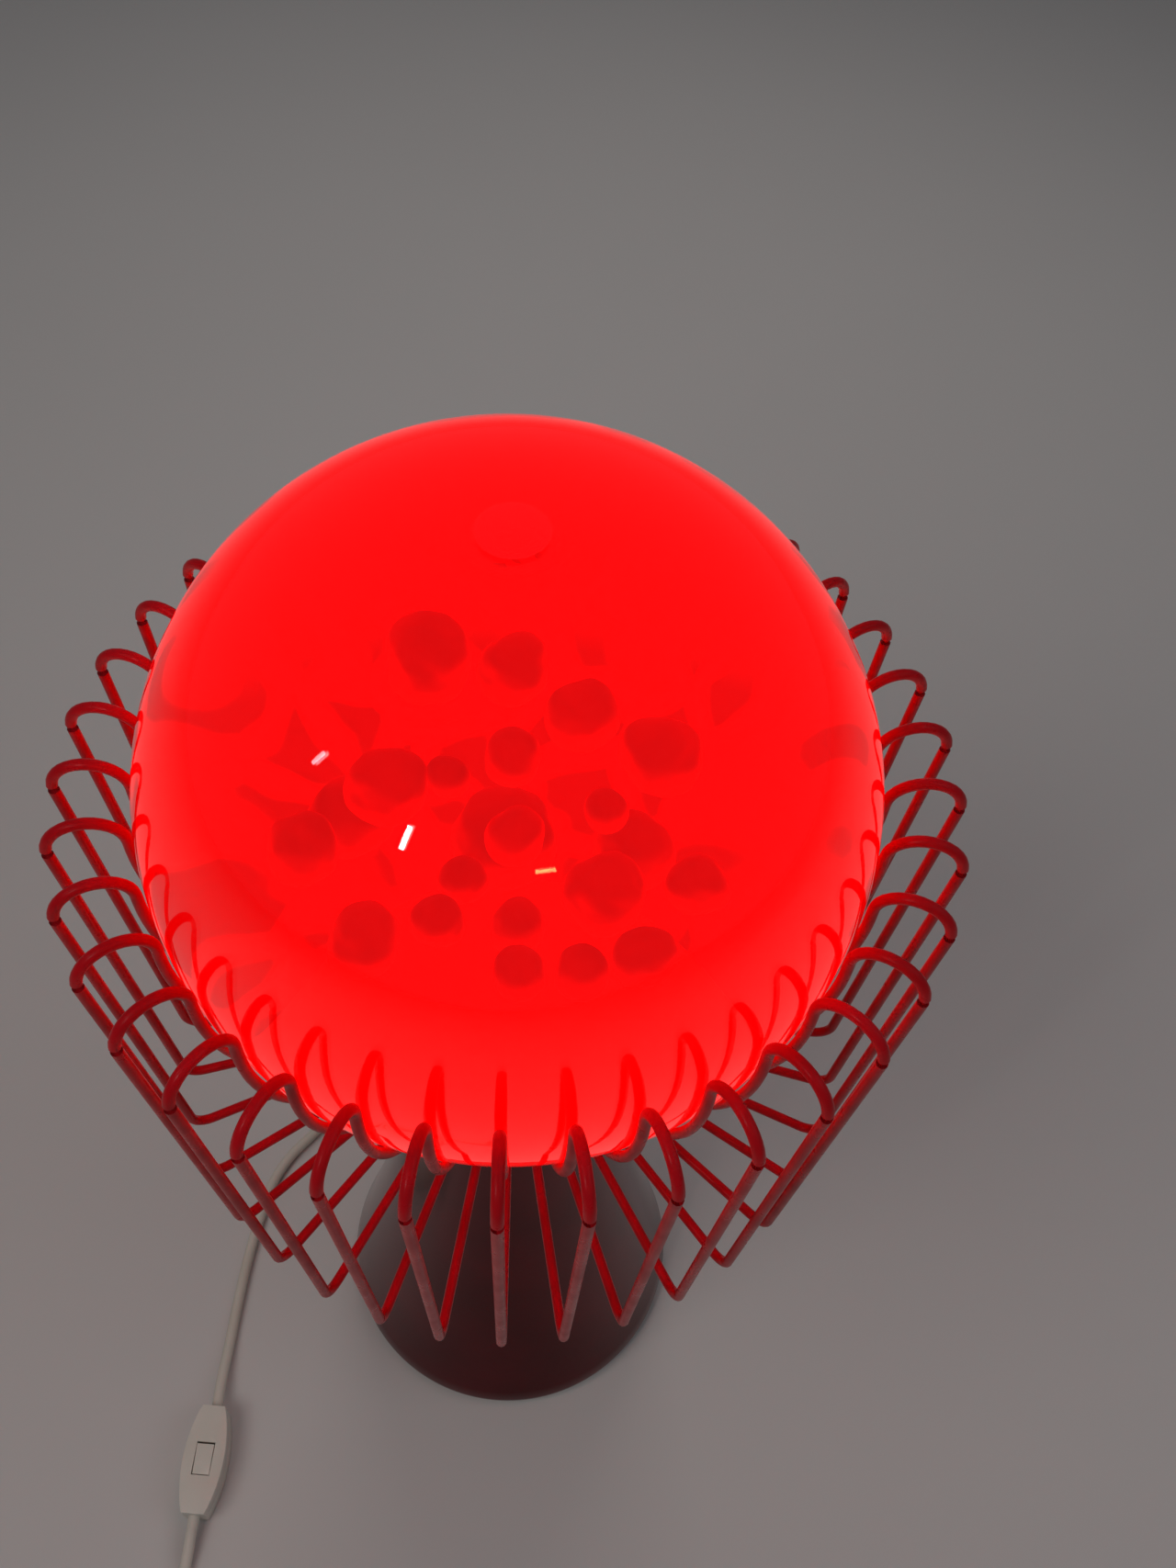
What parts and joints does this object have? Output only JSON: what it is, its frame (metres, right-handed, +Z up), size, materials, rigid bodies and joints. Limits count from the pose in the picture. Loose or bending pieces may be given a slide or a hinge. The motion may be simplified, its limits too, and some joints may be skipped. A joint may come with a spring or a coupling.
{
  "type": "globe lava lamp",
  "caption": "Table lamp with a sealed liquid-filled glass globe of moving wax, cradled in a crown of bent wire loops on a flared metal base, with an in-line rocker switch and mains cord.",
  "frame": {"origin": "centre of the base's underside, on the table, on the globe's vertical axis", "axes": "+Z up along the lamp's axis, -Y towards the viewer, cord leaves the base at +Y"},
  "size_m": [0.3278, 0.4442, 0.5952],
  "materials": {
    "globe_glass": "clear",
    "cap_metal": "satin",
    "black_rubber": "matte",
    "coil_metal": "satin",
    "wax": "satin",
    "red_coating": "gloss",
    "zinc_steel": "satin",
    "red_lacquer": "gloss",
    "weight_iron": "matte",
    "holder_plastic": "satin",
    "brass": "satin",
    "bulb_glass": "clear",
    "contact_black": "gloss",
    "filament": "satin",
    "cord_sheath": "satin",
    "lead_brown": "satin",
    "lead_blue": "satin",
    "switch_plastic": "satin"
  },
  "bodies": {
    "base": {"crown_wires": "red_coating", "crown_hub": "red_coating", "globe_seat": "black_rubber", "hub_screws": "zinc_steel", "hub_nuts": "zinc_steel", "base_shell": "red_lacquer", "bottom_plate": "zinc_steel", "plate_brackets": "zinc_steel", "plate_screws": "zinc_steel", "rubber_feet": "black_rubber", "base_weight": "weight_iron", "lamp_tube": "zinc_steel", "tube_nuts": "zinc_steel", "tube_washers": "zinc_steel", "holder_cap": "holder_plastic", "holder_body": "holder_plastic", "holder_ring": "holder_plastic", "holder_insert": "holder_plastic", "holder_sleeve": "brass", "holder_contact": "brass", "terminal_block": "holder_plastic", "terminal_screws": "brass", "inner_cord": "cord_sheath", "lead_live": "lead_brown", "lead_neutral": "lead_blue", "cord_gland": "cord_sheath", "gland_nut": "contact_black", "cord_to_switch": "cord_sheath", "switch_lower": "switch_plastic", "switch_upper": "switch_plastic", "switch_contacts": "brass", "switch_screws": "zinc_steel", "cord_to_coil": "cord_sheath", "cord_coil": "cord_sheath", "coil_tie": "contact_black", "cord_to_plug": "cord_sheath", "plug_body": "cord_sheath", "plug_pins": "brass"},
    "globe": {"globe_glass": "globe_glass", "filler_cap": "cap_metal", "cap_seal": "black_rubber", "heating_coil": "coil_metal", "wax_pool": "wax"},
    "wax_left_drops": {"wax_left": "wax"},
    "wax_middle_drops": {"wax_middle": "wax"},
    "wax_right_drops": {"wax_right": "wax"},
    "bulb": {"bulb_glass": "bulb_glass", "bulb_cap": "cap_metal", "bulb_contact": "contact_black", "bulb_stem": "bulb_glass", "bulb_filament": "filament"},
    "rocker": {"switch_rocker": "switch_plastic"}
  },
  "joints": [
    {"name": "globe_lift", "type": "slide", "parent": "base", "child": "globe", "axis": [0, 0, 1], "range_m": [0, 0.17]},
    {"name": "wax_left_rise", "type": "slide", "parent": "globe", "child": "wax_left_drops", "axis": [0, 0, 1], "range_m": [0, 0.035]},
    {"name": "wax_middle_rise", "type": "slide", "parent": "globe", "child": "wax_middle_drops", "axis": [0, 0, 1], "range_m": [0, 0.045]},
    {"name": "wax_right_rise", "type": "slide", "parent": "globe", "child": "wax_right_drops", "axis": [0, 0, 1], "range_m": [0, 0.04]},
    {"name": "bulb_turn", "type": "hinge", "parent": "base", "child": "bulb", "pos_m": [0, 0, 0.233], "axis": [0, 0, 1], "continuous": true},
    {"name": "rocker_rock", "type": "hinge", "parent": "base", "child": "rocker", "pos_m": [-0.162, -0.124, 0.0155], "axis": [0.9976, -0.0698, 0], "range_deg": [-16, 0]}
  ]
}
